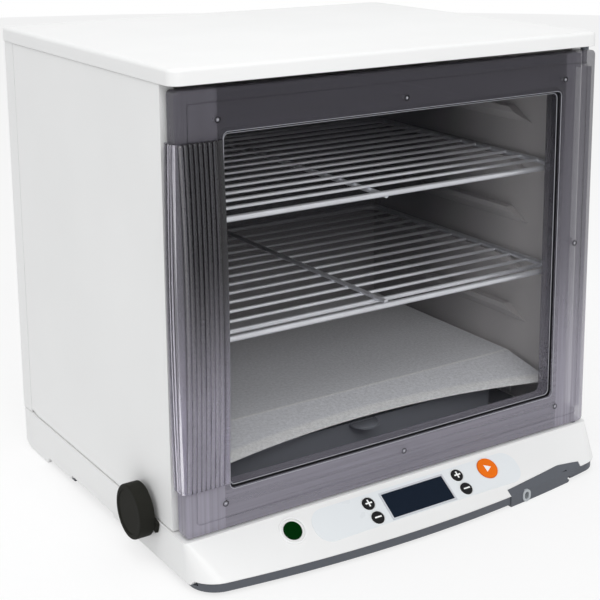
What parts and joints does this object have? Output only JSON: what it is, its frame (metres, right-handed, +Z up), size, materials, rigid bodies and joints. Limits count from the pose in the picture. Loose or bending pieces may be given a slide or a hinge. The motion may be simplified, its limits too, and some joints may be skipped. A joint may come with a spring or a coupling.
{
  "type": "folding dough proofer",
  "caption": "Heated proofing cabinet with lift-off lid, smoked swing door with ribbed wrap-round handle, wire racks, water tray and bowed base with sloped controls.",
  "frame": {"origin": "on the table under the middle of the overall box", "axes": "+Z up, front with door and controls towards -Y, +X to the right seen from the front"},
  "size_m": [0.434, 0.367, 0.387],
  "materials": {
    "white_shell": "fine satin",
    "white_lining": "satin",
    "smoke_clear": "clear smoked moulding",
    "clear_pane": "clear",
    "black_seal": "matt",
    "dark_grey": "fine texture",
    "black_knob": "fine texture",
    "button_black": "satin",
    "button_green": "glossy",
    "button_orange": "satin",
    "panel_film": "satin film",
    "bezel_light": "satin",
    "display_dark": "glossy, unlit",
    "board": "lacquered board",
    "wire_coat": "bright wire",
    "tray_metal": "satin",
    "tub_grey": "satin dark coat",
    "steel": "turned",
    "element_steel": "dark",
    "foot_rubber": "matt",
    "magnet": "dark",
    "port_rim": "satin"
  },
  "bodies": {
    "cabinet": {"base_shell": "white_shell", "bottom_pan": "dark_grey", "rubber_feet": "foot_rubber", "pan_screws": "steel", "corner_insert": "dark_grey", "port_grommet": "port_rim", "heating_tub": "tub_grey", "heater_plate": "tray_metal", "heater_element": "element_steel", "element_clips": "steel", "temperature_probe": "steel", "control_board": "board", "power_switch": "button_black", "power_board": "board", "display_window": "display_dark", "lcd_module": "bezel_light", "control_label": "panel_film", "display_bezel": "bezel_light", "left_wall": "white_shell", "left_lining": "white_lining", "right_wall": "white_shell", "right_lining": "white_lining", "back_wall": "white_shell", "back_lining": "white_lining", "left_fold_pins": "steel", "right_fold_pins": "steel", "back_fold_pins": "steel", "left_lock_keeper": "steel", "right_lock_keeper": "steel", "base_bush": "dark_grey", "magnet_strike": "steel"},
    "lid": {"lid_shell": "white_shell", "lid_lining": "white_lining", "lid_bush": "dark_grey"},
    "door": {"door_frame": "smoke_clear", "window_seal": "black_seal", "door_pane": "clear_pane", "door_inner_frame": "smoke_clear", "door_screws": "steel", "door_magnet": "magnet", "door_gasket": "black_seal", "door_pins": "steel", "pane_clips": "steel", "door_handle": "smoke_clear"},
    "left_lock": {"left_knob": "black_knob"},
    "right_lock": {"right_knob": "black_knob"},
    "lower_rack": {"lower_rack": "wire_coat"},
    "upper_rack": {"upper_rack": "wire_coat"},
    "cover": {"cover_plate": "white_lining"},
    "tray": {"water_tray": "tub_grey"},
    "power_button": {"power_button": "button_green"},
    "temp_up_button": {"temp_up_button": "button_black"},
    "temp_down_button": {"temp_down_button": "button_black"},
    "time_up_button": {"time_up_button": "button_black"},
    "time_down_button": {"time_down_button": "button_black"},
    "start_button": {"start_button": "button_orange"}
  },
  "joints": [
    {"name": "lid_lift", "type": "slide", "parent": "cabinet", "child": "lid", "axis": [0, 0, 1], "range_m": [0, 0.12]},
    {"name": "door_hinge", "type": "hinge", "parent": "cabinet", "child": "door", "pos_m": [0.1905, -0.1366, 0.2], "axis": [0, 0, 1], "range_deg": [0, 170]},
    {"name": "left_lock_turn", "type": "hinge", "parent": "cabinet", "child": "left_lock", "pos_m": [-0.21, -0.08, 0.0404], "axis": [1, 0, 0], "range_deg": [0, 90]},
    {"name": "right_lock_turn", "type": "hinge", "parent": "cabinet", "child": "right_lock", "pos_m": [0.21, -0.08, 0.0404], "axis": [1, 0, 0], "range_deg": [0, 90]},
    {"name": "lower_rack_play", "type": "slide", "parent": "cabinet", "child": "lower_rack", "axis": [0, -1, 0], "range_m": [0, 0.0035]},
    {"name": "upper_rack_play", "type": "slide", "parent": "cabinet", "child": "upper_rack", "axis": [0, -1, 0], "range_m": [0, 0.0035]},
    {"name": "cover_lift", "type": "slide", "parent": "cabinet", "child": "cover", "axis": [0, 0, 1], "range_m": [0, 0.03]},
    {"name": "tray_pull", "type": "slide", "parent": "cabinet", "child": "tray", "axis": [0, -1, 0], "range_m": [0, 0.02]},
    {"name": "power_button_press", "type": "slide", "parent": "cabinet", "child": "power_button", "axis": [0.0204, 0.6039, -0.7968], "range_m": [0, 0.0008], "stiffness_N_per_m": 800, "springref_m": -0.001},
    {"name": "temp_up_button_press", "type": "slide", "parent": "cabinet", "child": "temp_up_button", "axis": [0.0058, 0.553, -0.8332], "range_m": [0, 0.0008], "stiffness_N_per_m": 800, "springref_m": -0.001},
    {"name": "temp_down_button_press", "type": "slide", "parent": "cabinet", "child": "temp_down_button", "axis": [0.0118, 0.5535, -0.8327], "range_m": [0, 0.0008], "stiffness_N_per_m": 800, "springref_m": -0.001},
    {"name": "time_up_button_press", "type": "slide", "parent": "cabinet", "child": "time_up_button", "axis": [-0.0057, 0.553, -0.8332], "range_m": [0, 0.0008], "stiffness_N_per_m": 800, "springref_m": -0.001},
    {"name": "time_down_button_press", "type": "slide", "parent": "cabinet", "child": "time_down_button", "axis": [-0.0124, 0.5546, -0.832], "range_m": [0, 0.0008], "stiffness_N_per_m": 800, "springref_m": -0.001},
    {"name": "start_button_press", "type": "slide", "parent": "cabinet", "child": "start_button", "axis": [-0.0119, 0.5692, -0.8221], "range_m": [0, 0.0008], "stiffness_N_per_m": 800, "springref_m": -0.001}
  ]
}
